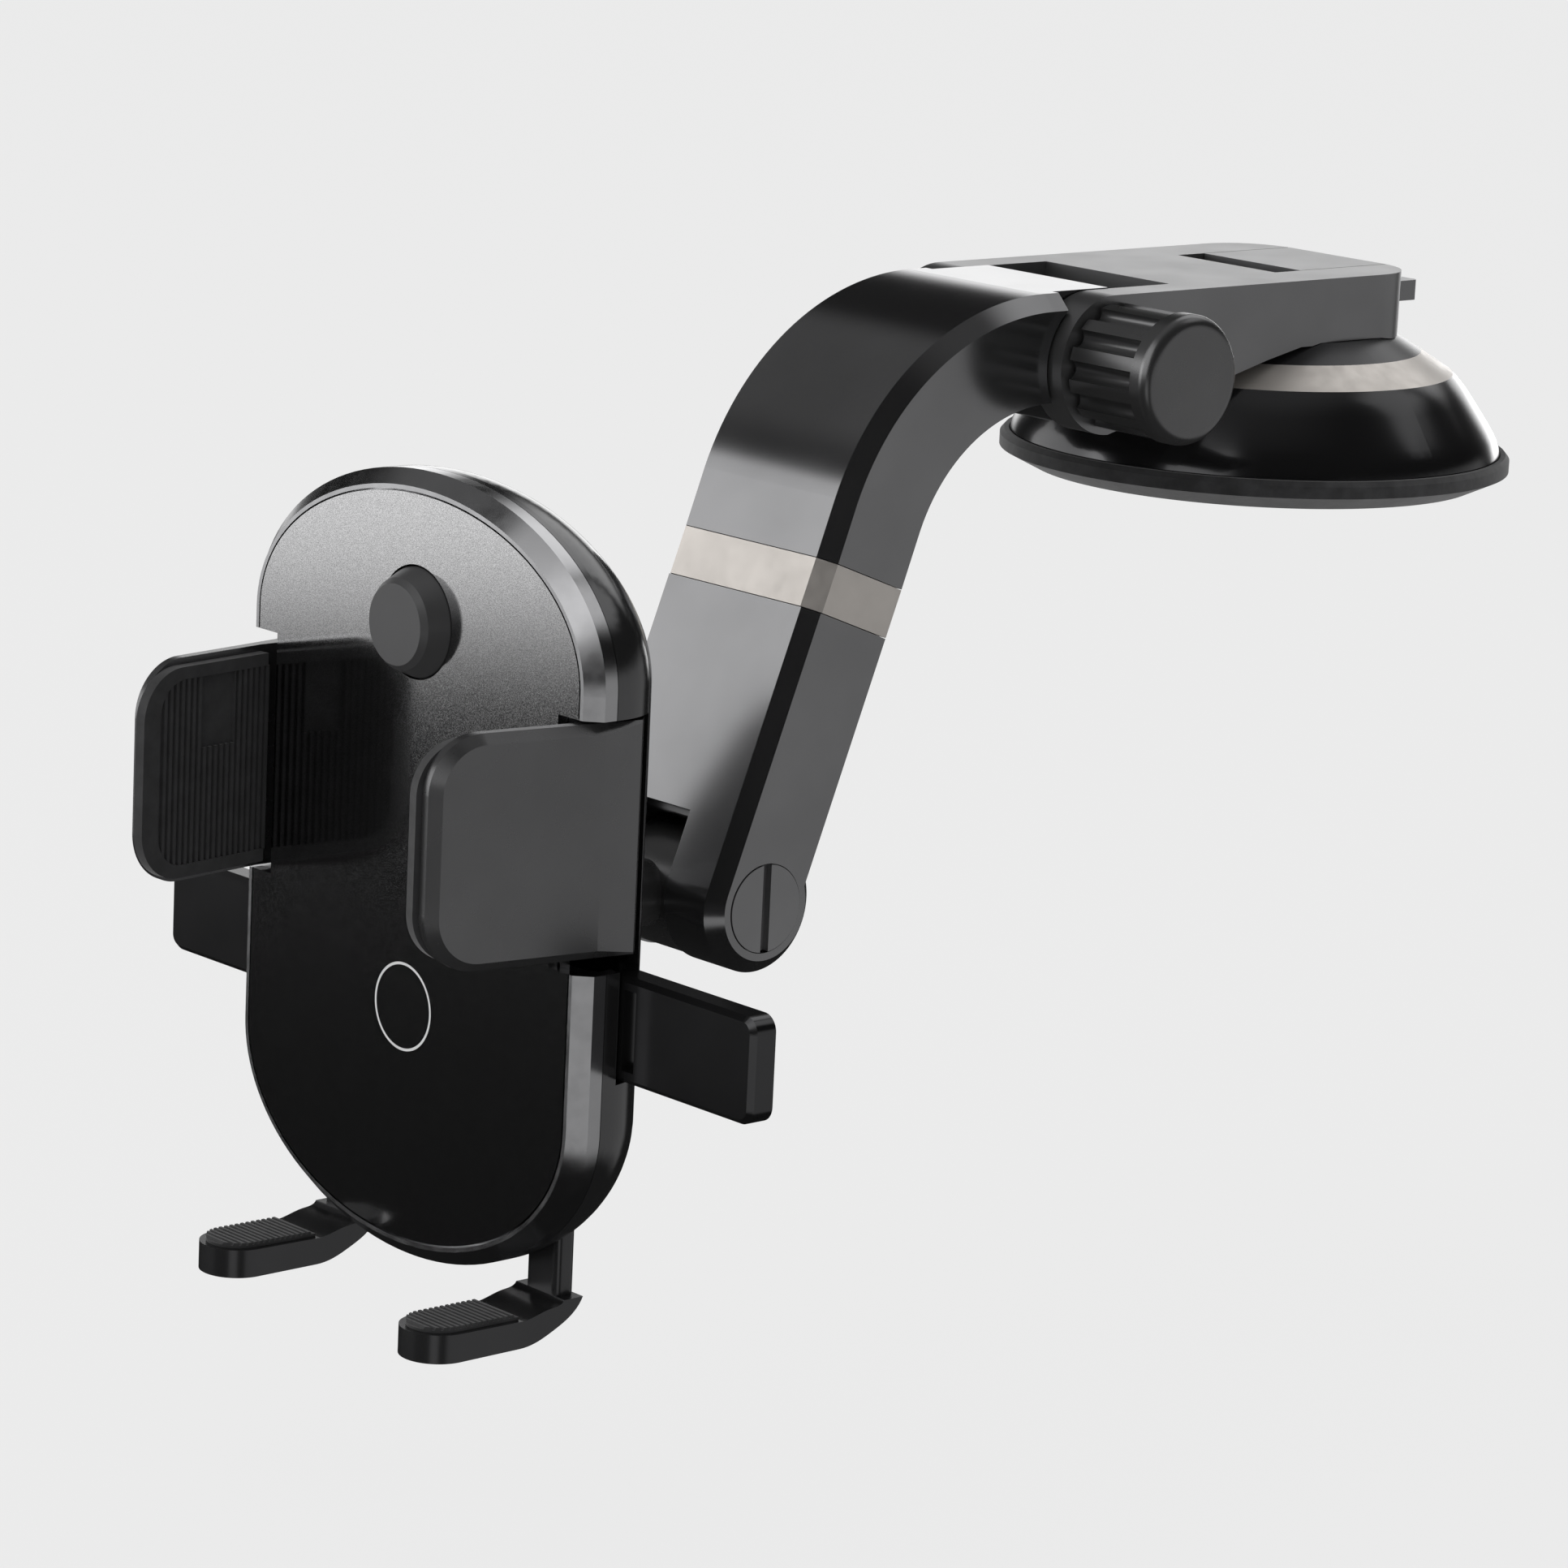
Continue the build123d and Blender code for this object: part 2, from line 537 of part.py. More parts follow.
with BuildPart() as lower_arm:
    with BuildSketch(side_plane(-ARM_HALF_W)):
        Polygon(arm_point(0, BAND_LENGTH), arm_point(0, BARREL_S), arm_point(ARM_T, BARREL_S),
                arm_point(ARM_T, BAND_LENGTH), align=None)
        with Locations((BARREL_Y, BARREL_Z)):
            Circle(BARREL_R)
    extrude(amount=2 * ARM_HALF_W)
    chamfer(arm_front_edges(lower_arm.part, True), ARM_CHAMFER - 0.2)
    with BuildSketch(side_plane(-SLOT_HALF_W)):
        Polygon(arm_point(-3, SLOT_TOP_S), arm_point(-3, BARREL_S + 12), arm_point(ARM_T + 6, BARREL_S + 12),
                arm_point(ARM_T + 6, SLOT_TOP_S), align=None)
    extrude(amount=2 * SLOT_HALF_W, mode=Mode.SUBTRACT)
    add(cross_cylinder(BOLT_R + RUN_FIT, -20.0, 20.0, BARREL_Y, BARREL_Z), mode=Mode.SUBTRACT)
    add(cross_cylinder(DISC_R + 0.15, ARM_HALF_W - DISC_T, 20.0, BARREL_Y, BARREL_Z), mode=Mode.SUBTRACT)
    with BuildSketch(side_plane(-ARM_HALF_W)):
        with Locations((BARREL_Y, BARREL_Z)):
            RegularPolygon(5.1, 6)
    extrude(amount=3.2, mode=Mode.SUBTRACT)
    with BuildSketch(Plane(origin=(0, *arm_point(ARM_T / 2, BAND_LENGTH + 12)), x_dir=(1, 0, 0),
                           z_dir=(0, sin(radians(ARM_TILT)), cos(radians(ARM_TILT))))):
        Rectangle(SPIGOT_W, SPIGOT_T)
    extrude(amount=13.0, mode=Mode.SUBTRACT)
save(lower_arm, "lower_arm")

with BuildPart() as arm_spigot:
    with BuildSketch(Plane(origin=(0, *arm_point(ARM_T / 2, BAND_LENGTH + 11.5)), x_dir=(1, 0, 0),
                           z_dir=(0, sin(radians(ARM_TILT)), cos(radians(ARM_TILT))))):
        Rectangle(SPIGOT_W - 0.3, SPIGOT_T - 0.3)
    extrude(amount=BAND_LENGTH + 22.0)
save(arm_spigot, "arm_spigot")

with BuildPart() as tilt_nut:
    with BuildSketch(side_plane(-ARM_HALF_W + 0.2)):
        with Locations((BARREL_Y, BARREL_Z)):
            RegularPolygon(5.0, 6)
            Circle(BOLT_R + RUN_FIT, mode=Mode.SUBTRACT)
    extrude(amount=3.0)
save(tilt_nut, "tilt_nut")

with BuildPart() as tilt_bolt:
    add(cross_cylinder(BOLT_R, -ARM_HALF_W + 0.4, ARM_HALF_W - DISC_T + 0.1, BARREL_Y, BARREL_Z))
    add(cross_cylinder(DISC_R, ARM_HALF_W - DISC_T + 0.05, ARM_HALF_W + 0.15, BARREL_Y, BARREL_Z))
    add(world_block(ARM_HALF_W - 0.9, ARM_HALF_W + 1, BARREL_Y - COIN_SLOT_W / 2,
                    BARREL_Y + COIN_SLOT_W / 2, BARREL_Z - 10, BARREL_Z + 10), mode=Mode.SUBTRACT)
save(tilt_bolt, "tilt_bolt")

# ---------------------------------------------------------------- knuckle with ball
with BuildPart() as ball_knuckle:
    add(cross_cylinder(KNUCKLE_R, -KNUCKLE_HALF_W, KNUCKLE_HALF_W, BARREL_Y, BARREL_Z))
    with BuildSketch(Plane(origin=(0, BALL_Y, BARREL_Z), x_dir=(1, 0, 0), z_dir=(0, 1, 0))):
        Circle(NECK_R)
    extrude(amount=BARREL_Y - BALL_Y - 4.0)
    with BuildSketch(Plane.XY.offset(BARREL_Z)):
        with Locations((0, BALL_Y)):
            Circle(BALL_R)
            Rectangle(2 * BALL_R, 2 * BALL_R, align=(Align.MAX, Align.CENTER), mode=Mode.SUBTRACT)
    revolve(axis=Axis((0, BALL_Y, BARREL_Z), (0, 1, 0)))
    add(cross_cylinder(BOLT_R + RUN_FIT, -9.0, 9.0, BARREL_Y, BARREL_Z), mode=Mode.SUBTRACT)
save(ball_knuckle, "ball_knuckle")


def depth_ring(outer, bore, y0, y1):
    """Ring along Y about the ball's axis."""
    with BuildPart() as ring:
        with BuildSketch(Plane(origin=(0, y0, BARREL_Z), x_dir=(1, 0, 0), z_dir=(0, 1, 0))):
            Circle(outer)
            if bore > 0:
                Circle(bore, mode=Mode.SUBTRACT)
        extrude(amount=y1 - y0)
    return ring.part


with BuildPart() as ball_cavity:
    with BuildSketch(Plane.XY.offset(BARREL_Z)):
        with Locations((0, BALL_Y)):
            Circle(BALL_R + RUN_FIT)
            Rectangle(2 * BALL_R + 2, 2 * BALL_R + 2, align=(Align.MAX, Align.CENTER), mode=Mode.SUBTRACT)
    revolve(axis=Axis((0, BALL_Y, BARREL_Z), (0, 1, 0)))

with BuildPart() as ball_cup:
    add(depth_ring(CUP_R, 0, PANEL_Y + SHELL_BACK + 0.1, SOCKET_MOUTH_Y - 0.1))
    add(ball_cavity.part, mode=Mode.SUBTRACT)
save(ball_cup, "ball_cup")

with BuildPart() as ball_socket:
    add(depth_ring(SOCKET_R, CUP_R + RUN_FIT, PANEL_Y + SHELL_BACK, SOCKET_MOUTH_Y))
save(ball_socket, "ball_socket")

with BuildPart() as lock_nut:
    add(depth_ring(NUT_R, NUT_BORE_R, PANEL_Y + SHELL_BACK + 0.5, SOCKET_MOUTH_Y + 0.3))
    add(depth_ring(NUT_R, 8.3, SOCKET_MOUTH_Y + 0.3, SOCKET_MOUTH_Y + 1.7))
    for index in range(12):
        turn = 2 * pi * index / 12
        with BuildSketch(Plane(origin=(NUT_R * cos(turn), PANEL_Y + SHELL_BACK, BARREL_Z + NUT_R * sin(turn)),
                               x_dir=(1, 0, 0), z_dir=(0, 1, 0))):
            Circle(0.9)
        extrude(amount=20.0, mode=Mode.SUBTRACT)
save(lock_nut, "lock_nut")


# ================================================================ cradle
def side_notches(front, back, inner):
    """The two side recesses that the clamp arms sit in."""
    with BuildPart() as notches:
        add(cradle_block(inner, 40.0, front, back, NOTCH_BOTTOM, NOTCH_TOP))
        add(cradle_block(-40.0, -inner, front, back, NOTCH_BOTTOM, NOTCH_TOP))
    return notches.part


EMBLEM_V = -48.3
EMBLEM_R = 6.0
EMBLEM_LINE = 0.36
EMBLEM_DEPTH = 0.3


def emblem_ring():
    """Thin plain ring let into the panel's face."""
    with BuildPart() as ring:
        with BuildSketch(cradle_plane(EMBLEM_DEPTH)):
            with Locations((0, EMBLEM_V)):
                Circle(EMBLEM_R)
                Circle(EMBLEM_R - EMBLEM_LINE, mode=Mode.SUBTRACT)
        extrude(amount=EMBLEM_DEPTH)
    return ring.part


with BuildPart() as front_panel:
    add(arch_slab(0, PANEL_T, RIM_W + GROOVE))
    add(side_notches(-1.0, 5.0, NOTCH_HALF_W), mode=Mode.SUBTRACT)
    add(depth_cylinder(BUTTON_R + 0.3, -1.0, 5.0, 0, BUTTON_V), mode=Mode.SUBTRACT)
    add(emblem_ring(), mode=Mode.SUBTRACT)
save(front_panel, "front_panel")

with BuildPart() as panel_emblem:
    add(emblem_ring())
save(panel_emblem, "panel_emblem")

BOSSES = [(-18.5, 7.5), (18.5, 7.5), (-5.5, -72.1), (5.5, -72.1)]
BOSS_R = 2.3
BOSS_END = 12.8
PLATE_FRONT = 11.4
PLATE_BACK = 12.6
SHAFT_R = 1.5

with BuildPart() as front_frame:
    add(arch_slab(0, RIM_DEPTH, 0))
    chamfer(faces().sort_by(Axis.Y)[0].edges(), RIM_BEVEL)
    add(arch_slab(-1.0, FRAME_PLATE_FRONT, RIM_W), mode=Mode.SUBTRACT)
    add(arch_slab(FRAME_PLATE_BACK, RIM_DEPTH + 1, RIM_W), mode=Mode.SUBTRACT)
    add(side_notches(-1.0, 5.0, NOTCH_HALF_W + 0.3), mode=Mode.SUBTRACT)
    add(depth_cylinder(BUTTON_R + 0.4, -1.0, 5.0, 0, BUTTON_V), mode=Mode.SUBTRACT)
    for u, v in BOSSES:
        add(depth_cylinder(BOSS_R, FRAME_PLATE_BACK - 0.1, BOSS_END, u, v))
        add(depth_cylinder(SCREW_BORE_R, 6.0, 13.5, u, v), mode=Mode.SUBTRACT)
    add(depth_cylinder(SHAFT_R, FRAME_PLATE_FRONT - 1, 5.0, 0, PINION_V), mode=Mode.SUBTRACT)
save(front_frame, "front_frame")

with BuildPart() as back_shell:
    add(arch_slab(SHELL_FRONT, SHELL_BACK, 0))
    fillet(faces().sort_by(Axis.Y)[-1].edges(), SHELL_ROUND)
    with BuildPart(mode=Mode.PRIVATE) as shell_hollow:
        add(arch_slab(SHELL_FRONT, SHELL_BACK - SHELL_WALL, SHELL_WALL))
        fillet(faces().sort_by(Axis.Y)[-1].edges(), SHELL_ROUND - SHELL_WALL)
    add(shell_hollow.part, mode=Mode.SUBTRACT)
    add(side_notches(2.0, 10.9, NOTCH_HALF_W + 0.3), mode=Mode.SUBTRACT)
    for sign in (-1, 1):
        add(cradle_block(sign * 29.0, sign * 40.0, 6.4, 11.2, BAR_BOTTOM[sign] - 0.4, BAR_TOP[sign] + 0.6),
            mode=Mode.SUBTRACT)
        add(cradle_block(sign * FEET_U - 3.8, sign * FEET_U + 3.8, 6.9, 10.9, -90.0, -68.0),
            mode=Mode.SUBTRACT)
    for u, v in BOSSES:
        add(depth_cylinder(SCREW_BORE_R, 12.0, 16.0, u, v), mode=Mode.SUBTRACT)
        add(depth_cylinder(SCREW_HEAD_R, 14.2, 16.0, u, v), mode=Mode.SUBTRACT)
save(back_shell, "back_shell")

with BuildPart() as shell_screws:
    for u, v in BOSSES:
        add(depth_cylinder(SCREW_R, 7.0, 14.3, u, v))
        add(depth_cylinder(SCREW_HEAD_R - 0.1, 14.2, 14.9, u, v))
save(shell_screws, "shell_screws")

with BuildPart() as mechanism_plate:
    add(cradle_block(-28.0, 28.0, PLATE_FRONT, PLATE_BACK, -36.0, 4.0))
    add(cradle_block(-15.5, 15.5, PLATE_FRONT, PLATE_BACK, 3.0, 12.0))
    add(depth_cylinder(SHAFT_R, 8.0, 14.0, 0, PINION_V), mode=Mode.SUBTRACT)
save(mechanism_plate, "mechanism_plate")

with BuildPart() as pinion_shaft:
    add(depth_cylinder(SHAFT_R, FRAME_PLATE_FRONT, PLATE_BACK, 0, PINION_V))
save(pinion_shaft, "pinion_shaft")


# ---------------------------------------------------------------- clamp drive
def involute_angle(radius):
    """Polar angle gained along the tooth's flank at a radius."""
    base = PITCH_R * cos(PRESSURE)
    roll = sqrt(max((radius / base) ** 2 - 1, 0))
    return roll - atan2(roll, 1)


def gear_points():
    """Outline of the pinion, with a tooth on the +Z side."""
    base = PITCH_R * cos(PRESSURE)
    root = PITCH_R - GEAR_ROOT
    tip = PITCH_R + GEAR_ADDENDUM
    half = (pi / TEETH - BACKLASH / PITCH_R) / 2
    steps = 5
    outline = []
    for tooth in range(TEETH):
        middle = pi / 2 + 2 * pi * tooth / TEETH
        flank = []
        for step in range(steps + 1):
            radius = base + (tip - base) * step / steps
            flank.append((radius, half + involute_angle(PITCH_R) - involute_angle(radius)))
        side = [(root, flank[0][1])] + flank
        for radius, angle in side:
            outline.append((radius * cos(middle - angle), radius * sin(middle - angle)))
        for radius, angle in reversed(side):
            outline.append((radius * cos(middle + angle), radius * sin(middle + angle)))
    return outline


def rack_points(u0, u1, pitch_v, away, back_v):
    """Rack outline between u0 and u1; away is +1 with the body above its teeth."""
    pitch = pi * MODULE
    half = (pitch / 2 - BACKLASH) / 2
    first = int((u0 + pitch) // pitch)
    last = int((u1 - pitch) // pitch)
    root_v = pitch_v + away * RACK_DEDENDUM
    tip_v = pitch_v - away * RACK_ADDENDUM
    outline = [(u0, back_v), (u0, root_v)]
    for index in range(first, last + 1):
        middle = (index + 0.5) * pitch
        wide = half + RACK_DEDENDUM * tan(PRESSURE)
        narrow = half - RACK_ADDENDUM * tan(PRESSURE)
        outline += [(middle - wide, root_v), (middle - narrow, tip_v),
                    (middle + narrow, tip_v), (middle + wide, root_v)]
    outline += [(u1, root_v), (u1, back_v)]
    return outline


def rack_bar(u0, u1, pitch_v, away, back_v, layer):
    """Flat toothed bar lying in one layer of the mechanism."""
    with BuildPart() as bar:
        with BuildSketch(cradle_plane(layer[1])):
            Polygon(*rack_points(u0, u1, pitch_v, away, back_v), align=None)
        extrude(amount=layer[1] - layer[0])
    return bar.part


with BuildPart() as pinion:
    with BuildSketch(cradle_plane(PINION_BACK)):
        with Locations((0, PINION_V)):
            Polygon(*gear_points(), align=None)
            Circle(SHAFT_R + RUN_FIT, mode=Mode.SUBTRACT)
    extrude(amount=PINION_BACK - PINION_FRONT)
save(pinion, "pinion")

UPPER_RACK_V = PINION_V + PITCH_R
LOWER_RACK_V = PINION_V - PITCH_R
CLAMP_SECTION = [(36.4, 8.4), (36.4, 2.4), (32.6, -21.9), (30.1, -21.9), (33.3, 0),
                 (33.3, CLAMP_LAYER[0]), (30.8, CLAMP_LAYER[0]), (30.8, CLAMP_LAYER[1]),
                 (33.3, CLAMP_LAYER[1]), (33.3, 10.2), (34.6, 10.2)]
CLAMP_BEVEL = 1.25


def clamp_bevel_edges(part, side):
    """Edges round the clamp's sloping outer face, leaving its bend line sharp."""
    faces = [face for face in part.faces()
             if side * face.normal_at().X > 0.9 and abs(face.normal_at().Y) > 0.05]
    outer = max(faces, key=lambda face: face.area)
    return [edge for edge in outer.edges() if abs(edge.center().Y - (PANEL_Y + 2.4)) > 0.01]


def clamp_arm(side):
    """Clamp arm on one side (+1 or -1): hooked outer plate, root and rack."""
    top = CLAMP_TOP[side]
    bottom = CLAMP_BOTTOM[side]
    rack_v = UPPER_RACK_V if side > 0 else LOWER_RACK_V
    back_v = rack_v + side * 5.0
    with BuildPart() as arm:
        with BuildSketch(cradle_floor(bottom)):
            Polygon(*[(side * u, n) for u, n in CLAMP_SECTION], align=None)
        extrude(amount=top - bottom)
        with BuildSketch(cradle_side(-40.0)):
            with Locations((0, (top + bottom) / 2)):
                Rectangle(2 * CLAMP_REACH, top - bottom)
            fillet(vertices().group_by(Axis.X)[0], CLAMP_CORNER_R)
        extrude(amount=80.0, mode=Mode.INTERSECT)
        chamfer(clamp_bevel_edges(arm.part, side), CLAMP_BEVEL)
        add(cradle_block(side * 27.0, side * 31.5, CLAMP_LAYER[0], CLAMP_LAYER[1], bottom + 1.0, top - 1.0))
        ends = sorted((side * 28.0, side * -18.5))
        add(rack_bar(ends[0], ends[1], rack_v, side, back_v, CLAMP_LAYER))
    return arm.part


PAD_START = (29.96, -22.7)
PAD_END = (33.27, -0.1)
PAD_T = 1.6
PAD_MARGIN = 0.9
PAD_FIELD_MARGIN = 1.7
PAD_RIB_PITCH = 1.05
PAD_RIB_W = 0.5
PAD_RIB_H = 0.5
PAD_RIBS = 19
PAD_FLAT_W = 6.0
PAD_FLAT_H = 9.8
PAD_FLAT_MIDDLE = 13.7


def clamp_pad(side):
    """Rubber pad on a clamp arm: rounded border, upright ribs and a smooth patch at the top."""
    length = hypot(PAD_END[0] - PAD_START[0], PAD_END[1] - PAD_START[1])
    across = (PAD_END[0] - PAD_START[0]) / length
    deep = (PAD_END[1] - PAD_START[1]) / length
    middle = (CLAMP_TOP[side] + CLAMP_BOTTOM[side]) / 2
    half = (CLAMP_TOP[side] - CLAMP_BOTTOM[side]) / 2 - PAD_MARGIN
    face = Plane(origin=(side * PAD_START[0], PANEL_Y + PAD_START[1], PANEL_Z + middle),
                 x_dir=(side * across, deep, 0), z_dir=(-side * deep, across, 0))
    field_half = half - PAD_FIELD_MARGIN
    with BuildPart() as pad:
        with BuildSketch(face.offset(0.02)):
            with Locations((length / 2, 0)):
                Rectangle(length, 2 * half)
            fillet(vertices().group_by(Axis.X)[0], CLAMP_CORNER_R - 0.6)
        extrude(amount=PAD_T - 0.02)
        with BuildSketch(face.offset(PAD_T - PAD_RIB_H)):
            with Locations((length / 2 + 4.5, 0)):
                RectangleRounded(length + 3.0, 2 * field_half, 4.6)
        extrude(amount=2.0, mode=Mode.SUBTRACT)
        with BuildSketch(face.offset(PAD_T - PAD_RIB_H - 0.05)):
            for index in range(PAD_RIBS):
                with Locations((4.0 + index * PAD_RIB_PITCH, 0)):
                    Rectangle(PAD_RIB_W, 2 * field_half)
            with Locations((length / 2 + 4.5, 0)):
                RectangleRounded(length + 3.0, 2 * field_half, 4.6, mode=Mode.INTERSECT)
            with Locations((PAD_FLAT_MIDDLE, side * (PAD_FLAT_H / 2 - field_half))):
                Rectangle(PAD_FLAT_W, PAD_FLAT_H, mode=Mode.SUBTRACT)
        extrude(amount=PAD_RIB_H)
    return pad.part


for label, side in (("clamp_left", -1), ("clamp_right", 1)):
    with BuildPart() as clamp:
        add(clamp_arm(side))
    save(clamp, label)

for label, side in (("clamp_pad_left", -1), ("clamp_pad_right", 1)):
    with BuildPart() as pad_piece:
        add(clamp_pad(side))
    save(pad_piece, label)


def bar_blade(side, back):
    """Outer finger blade of a release bar with its end rounded and a window at its root."""
    height = BAR_TOP[side] - BAR_BOTTOM[side]
    middle = (BAR_TOP[side] + BAR_BOTTOM[side]) / 2
    with BuildPart() as blade:
        with BuildSketch(cradle_plane(back)):
            with Locations((side * (BAR_REACH + 34.0) / 2, middle)):
                Rectangle(BAR_REACH - 34.0, height)
            outer = vertices().group_by(Axis.X)[-1 if side > 0 else 0]
            fillet(outer, 2.2)
            with Locations((side * 38.1, middle)):
                Rectangle(2.4, height - 3.4, mode=Mode.SUBTRACT)
        extrude(amount=BAR_T)
        face_edges = [edge for edge in blade.part.edges()
                      if abs(edge.center().Y - (PANEL_Y + back - BAR_T)) < 0.01
                      and side * edge.center().X > BAR_BLADE_U + 2]
        chamfer(face_edges, 0.7)
    return blade.part


with BuildPart() as release_bar_right:
    add(bar_blade(1, RIGHT_BAR_LAYER[0] + BAR_T))
    add(cradle_block(12.0, 35.0, *RIGHT_BAR_LAYER, BAR_BOTTOM[1] + 1.6, BAR_TOP[1] - 1.6))
    add(cradle_block(12.0, 20.0, *RIGHT_BAR_LAYER, BAR_TOP[1] - 2.0, LOWER_RACK_V - 4.0))
    add(rack_bar(-6.0, 20.0, LOWER_RACK_V, -1, LOWER_RACK_V - 5.0, RIGHT_BAR_LAYER))
save(release_bar_right, "release_bar_right")

with BuildPart() as release_bar_left:
    add(bar_blade(-1, LEFT_BAR_LAYER[1]))
    add(cradle_block(-35.0, -24.5, *LEFT_BAR_LAYER, BAR_BOTTOM[-1] + 1.6, BAR_TOP[-1] - 1.6))
    add(cradle_block(-31.8, -24.5, *LEFT_BAR_LAYER, BAR_TOP[-1] - 2.0, UPPER_RACK_V + 4.5))
    add(rack_bar(-26.0, 5.0, UPPER_RACK_V, 1, UPPER_RACK_V + 4.5, LEFT_BAR_LAYER))
save(release_bar_left, "release_bar_left")

# ---------------------------------------------------------------- trigger button
with BuildPart() as button:
    with BuildSketch(Plane(origin=(0, PANEL_Y, PANEL_Z + BUTTON_V), x_dir=(1, 0, 0), z_dir=(0, 0, 1))):
        Polygon((0, -3.5), (5.4, -3.5), (6.1, -2.7), (BUTTON_R, 0), (BUTTON_R, 3.6), (9.0, 3.6),
                (9.0, 4.6), (2.2, 4.6), (2.2, 6.4), (0, 6.4), align=None)
    revolve(axis=Axis((0, PANEL_Y, PANEL_Z + BUTTON_V), (0, 1, 0)))
save(button, "button")

with BuildPart() as latch_pawl:
    add(cradle_block(-2.4, 2.4, 4.6, 5.8, UPPER_RACK_V + 5.3, BUTTON_V - 4.1))
save(latch_pawl, "latch_pawl")

with BuildPart() as button_spring:
    with BuildLine():
        coil = Helix(pitch=1.45, height=5.6, radius=3.4,
                     center=(0, PANEL_Y + 5.1, PANEL_Z + BUTTON_V), direction=(0, 1, 0))
    with BuildSketch(Plane(origin=coil @ 0, z_dir=coil % 0)):
        Circle(0.3)
    sweep(path=coil)
save(button_spring, "button_spring")


# ---------------------------------------------------------------- feet
def foot(side):
    """Post and forward foot on one side."""
    with BuildPart() as leg:
        with BuildSketch(cradle_side(side * FEET_U - FOOT_HALF_W)):
            with BuildLine():
                Polyline((FOOT_TIP, FOOT_TOP + 0.2), (FOOT_TIP, FOOT_BOTTOM), (0.0, FOOT_BOTTOM))
                Spline((0.0, FOOT_BOTTOM), (5.6, FOOT_BOTTOM + 1.5), (POST_BACK, FOOT_BOTTOM + 5.4),
                       tangents=((1, 0), (0.5, 1)))
                Line((POST_BACK, FOOT_BOTTOM + 5.4), (POST_FRONT, FOOT_BOTTOM + 5.4))
                Spline((POST_FRONT, FOOT_BOTTOM + 5.4), (5.0, FOOT_TOP + 0.9), (0.5, FOOT_TOP),
                       tangents=((-0.5, -1), (-1, -0.05)))
                Line((0.5, FOOT_TOP), (FOOT_TIP, FOOT_TOP + 0.2))
            make_face()
        extrude(amount=2 * FOOT_HALF_W)
        with BuildSketch(cradle_floor(-95.0)):
            with Locations((side * FEET_U, 0)):
                SlotCenterPoint((0, 0), (0, FOOT_TIP + FOOT_HALF_W), 2 * FOOT_HALF_W)
            with Locations((side * FEET_U, POST_BACK - 7.0)):
                RectangleRounded(2 * FOOT_HALF_W, 14.0, 2.2)
        extrude(amount=20.0, mode=Mode.INTERSECT)
        with BuildSketch(cradle_floor(FOOT_TOP - 1.0)):
            with Locations((side * FEET_U, (POST_FRONT + POST_BACK) / 2)):
                RectangleRounded(2 * POST_HALF_W, POST_BACK - POST_FRONT, POST_ROUND)
        extrude(amount=CARRIAGE_BOTTOM - FOOT_TOP + 2.0)
    return leg.part


with BuildPart() as feet_slider:
    for side in (-1, 1):
        add(foot(side))
    add(cradle_block(-FEET_U - POST_HALF_W, FEET_U + POST_HALF_W, POST_FRONT, POST_BACK,
                     CARRIAGE_BOTTOM, CARRIAGE_TOP))
save(feet_slider, "feet_slider")

FOOT_RIB_PITCH = 0.9
FOOT_RIBS = 15
FOOT_PAD_END = 0.4


def above_foot(depth, height):
    """Point at a depth and a height over the foot's gently sloping top."""
    return (depth, FOOT_TOP + 0.2 * (0.5 - depth) / (0.5 - FOOT_TIP) + height)


def foot_pad(side):
    """Ribbed rubber strip lying on one foot."""
    start = FOOT_TIP + 0.9
    outline = [above_foot(start, 0.02), above_foot(start, 0.4)]
    for index in range(FOOT_RIBS):
        begin = start + 0.4 + index * FOOT_RIB_PITCH
        outline += [above_foot(begin, 0.4), above_foot(begin + 0.15, 0.8),
                    above_foot(begin + 0.55, 0.8), above_foot(begin + 0.7, 0.4)]
    outline += [above_foot(FOOT_PAD_END, 0.4), above_foot(FOOT_PAD_END, 0.02)]
    with BuildPart() as strip:
        with BuildSketch(cradle_side(side * FEET_U - FOOT_HALF_W)):
            Polygon(*outline, align=None)
        extrude(amount=2 * FOOT_HALF_W)
        with BuildSketch(cradle_floor(-95.0)):
            with Locations((side * FEET_U, 0)):
                SlotCenterPoint((0, 0), (0, FOOT_TIP + FOOT_HALF_W), 2 * FOOT_HALF_W - 1.8)
        extrude(amount=20.0, mode=Mode.INTERSECT)
    return strip.part


for label, side in (("foot_pad_left", -1), ("foot_pad_right", 1)):
    with BuildPart() as foot_pad_piece:
        add(foot_pad(side))
    save(foot_pad_piece, label)
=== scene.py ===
"""Car phone mount: materials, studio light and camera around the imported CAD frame."""
import json
import math

import bpy
from mathutils import Matrix, Vector


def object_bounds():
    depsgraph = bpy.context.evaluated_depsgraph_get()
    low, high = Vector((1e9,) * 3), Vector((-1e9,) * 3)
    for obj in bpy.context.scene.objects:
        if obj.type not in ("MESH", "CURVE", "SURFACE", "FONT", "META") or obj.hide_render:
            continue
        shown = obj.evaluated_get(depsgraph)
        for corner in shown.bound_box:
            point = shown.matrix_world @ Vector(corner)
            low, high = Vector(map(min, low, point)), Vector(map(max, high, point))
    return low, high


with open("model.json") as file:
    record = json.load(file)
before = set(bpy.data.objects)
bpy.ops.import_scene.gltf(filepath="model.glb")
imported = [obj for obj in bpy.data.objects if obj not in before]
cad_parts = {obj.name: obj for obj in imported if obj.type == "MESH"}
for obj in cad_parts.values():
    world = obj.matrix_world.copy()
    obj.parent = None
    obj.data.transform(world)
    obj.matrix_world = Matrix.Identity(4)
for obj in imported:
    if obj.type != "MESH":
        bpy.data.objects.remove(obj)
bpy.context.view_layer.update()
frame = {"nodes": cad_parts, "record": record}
NODES = frame["nodes"]
MM = 0.001
